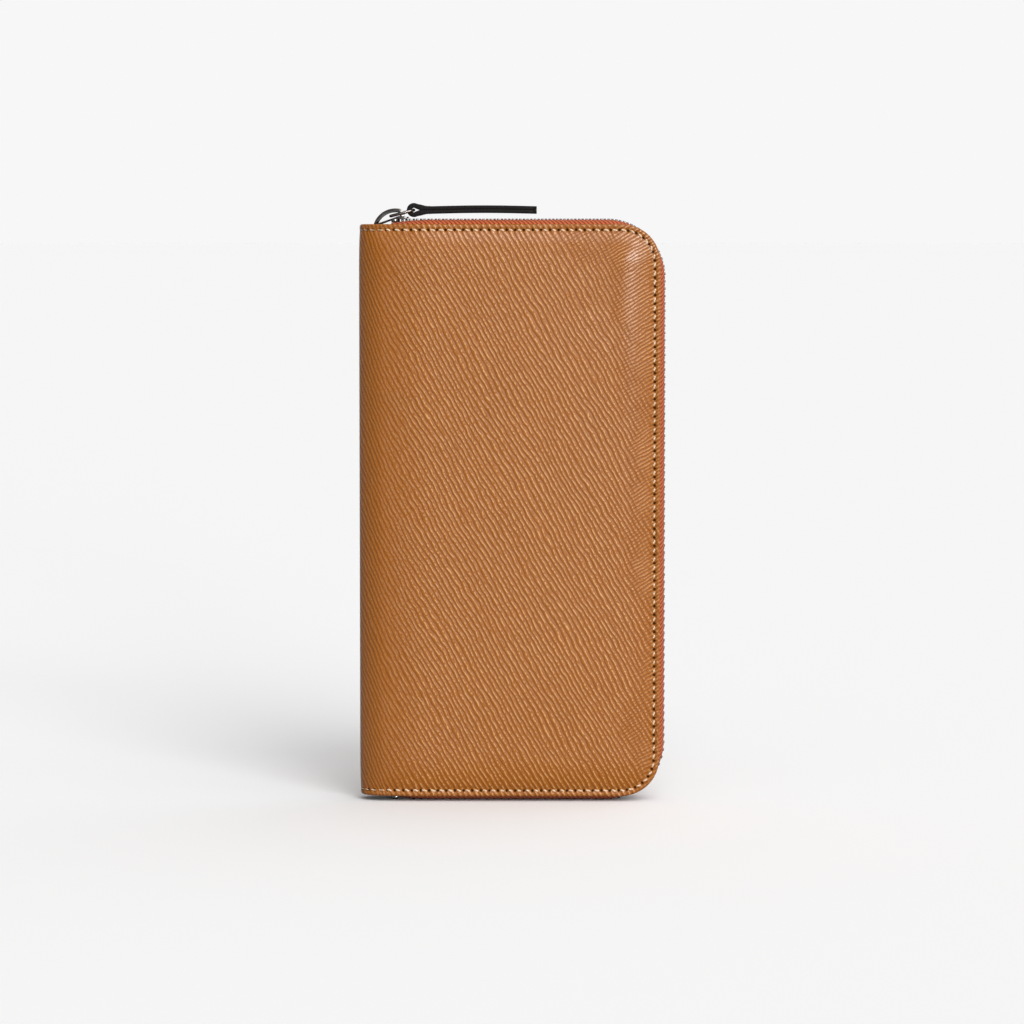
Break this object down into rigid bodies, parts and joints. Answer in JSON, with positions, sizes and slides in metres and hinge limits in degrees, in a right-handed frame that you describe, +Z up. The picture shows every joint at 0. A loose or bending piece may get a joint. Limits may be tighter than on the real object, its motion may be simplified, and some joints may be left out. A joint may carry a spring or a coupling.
{
  "type": "zip around wallet",
  "caption": "Long zip-around wallet in grained leather, with a rounded spine, metal zip, strap pull, card pockets and a zipped centre coin pocket.",
  "frame": {"origin": "on the surface the wallet stands on, under the middle of its box", "axes": "+Z up along the spine, +X from the spine to the zipped side, front cover facing -Y"},
  "size_m": [0.1038, 0.022, 0.2038],
  "materials": {
    "tan_leather": "grained, semi-gloss",
    "card_leather": "smooth, satin",
    "black_leather": "smooth, satin",
    "lining_cloth": "fine twill",
    "zip_tape": "woven tape",
    "pale_thread": "twisted thread",
    "tan_thread": "twisted thread",
    "nickel": "polished nickel",
    "foam": "soft foam",
    "board": "matt"
  },
  "bodies": {
    "back_cover": {"back_outer_leather": "tan_leather", "back_padding": "foam", "back_board": "board", "back_lining": "lining_cloth", "back_zip_tape": "zip_tape", "back_edge_stitching": "pale_thread", "back_zip_stops": "nickel", "back_card_base": "card_leather", "back_card_seam": "tan_thread", "back_fold_leather": "tan_leather", "back_top_gusset": "lining_cloth", "back_bottom_gusset": "lining_cloth", "back_card_tier_1": "card_leather", "back_card_tier_2": "card_leather", "back_card_tier_3": "card_leather", "back_card_tier_4": "card_leather", "back_zip_teeth_top": "nickel", "back_zip_teeth_side": "nickel", "back_zip_teeth_bottom": "nickel"},
    "spine": {"spine_leather": "tan_leather", "spine_lining": "lining_cloth", "coin_zip_stops": "nickel", "front_coin_pocket_wall": "card_leather", "front_coin_zip_tape": "zip_tape", "front_coin_zip_teeth": "nickel", "back_coin_pocket_wall": "card_leather", "back_coin_zip_tape": "zip_tape", "back_coin_zip_teeth": "nickel"},
    "front_cover": {"front_outer_leather": "tan_leather", "front_padding": "foam", "front_board": "board", "front_lining": "lining_cloth", "front_zip_tape": "zip_tape", "front_edge_stitching": "pale_thread", "front_zip_stops": "nickel", "front_card_base": "card_leather", "front_card_seam": "tan_thread", "front_fold_leather": "tan_leather", "front_top_gusset": "lining_cloth", "front_bottom_gusset": "lining_cloth", "front_card_tier_1": "card_leather", "front_card_tier_2": "card_leather", "front_card_tier_3": "card_leather", "front_card_tier_4": "card_leather", "front_zip_teeth_top": "nickel", "front_zip_teeth_side": "nickel", "front_zip_teeth_bottom": "nickel"},
    "zip_slider": {"zip_slider": "nickel"},
    "pull_link": {"pull_link": "nickel"},
    "pull_strap": {"pull_strap": "black_leather", "strap_stitching": "tan_thread"},
    "coin_slider": {"coin_slider": "nickel"},
    "coin_pull": {"coin_pull": "nickel"}
  },
  "joints": [
    {"name": "spine_fold_back", "type": "hinge", "parent": "back_cover", "child": "spine", "pos_m": [-0.04328, 0.008, 0], "axis": [0, 0, -1], "range_deg": [0, 40], "deforming": ["back_fold_leather", "back_top_gusset", "back_bottom_gusset"]},
    {"name": "spine_fold_front", "type": "hinge", "parent": "spine", "child": "front_cover", "pos_m": [-0.04328, -0.008, 0], "axis": [0, 0, -1], "range_deg": [0, 40], "deforming": ["front_fold_leather", "front_top_gusset", "front_bottom_gusset"]},
    {"name": "zip_slider_travel", "type": "slide", "parent": "back_cover", "child": "zip_slider", "axis": [1, 0, 0], "range_m": [0, 0.062], "deforming": ["front_zip_teeth_top", "back_zip_teeth_top"]},
    {"name": "pull_link_swing", "type": "hinge", "parent": "zip_slider", "child": "pull_link", "pos_m": [-0.04158, 0, 0.19935], "axis": [0, -1, 0], "range_deg": [0, 150]},
    {"name": "pull_strap_swing", "type": "hinge", "parent": "pull_link", "child": "pull_strap", "pos_m": [-0.03364, 0, 0.2014], "axis": [0, -1, 0], "range_deg": [0, 100]},
    {"name": "coin_slider_travel", "type": "slide", "parent": "spine", "child": "coin_slider", "axis": [0, 0, 1], "range_m": [0, 0.14], "deforming": ["front_coin_zip_teeth", "back_coin_zip_teeth"]},
    {"name": "coin_pull_swing", "type": "hinge", "parent": "coin_slider", "child": "coin_pull", "pos_m": [0.02728, 0, 0.03275], "axis": [0, -1, 0], "range_deg": [0, 170]}
  ],
  "couplings": [
    {"joint": "spine_fold_front", "follows": "spine_fold_back", "ratio": 1}
  ]
}
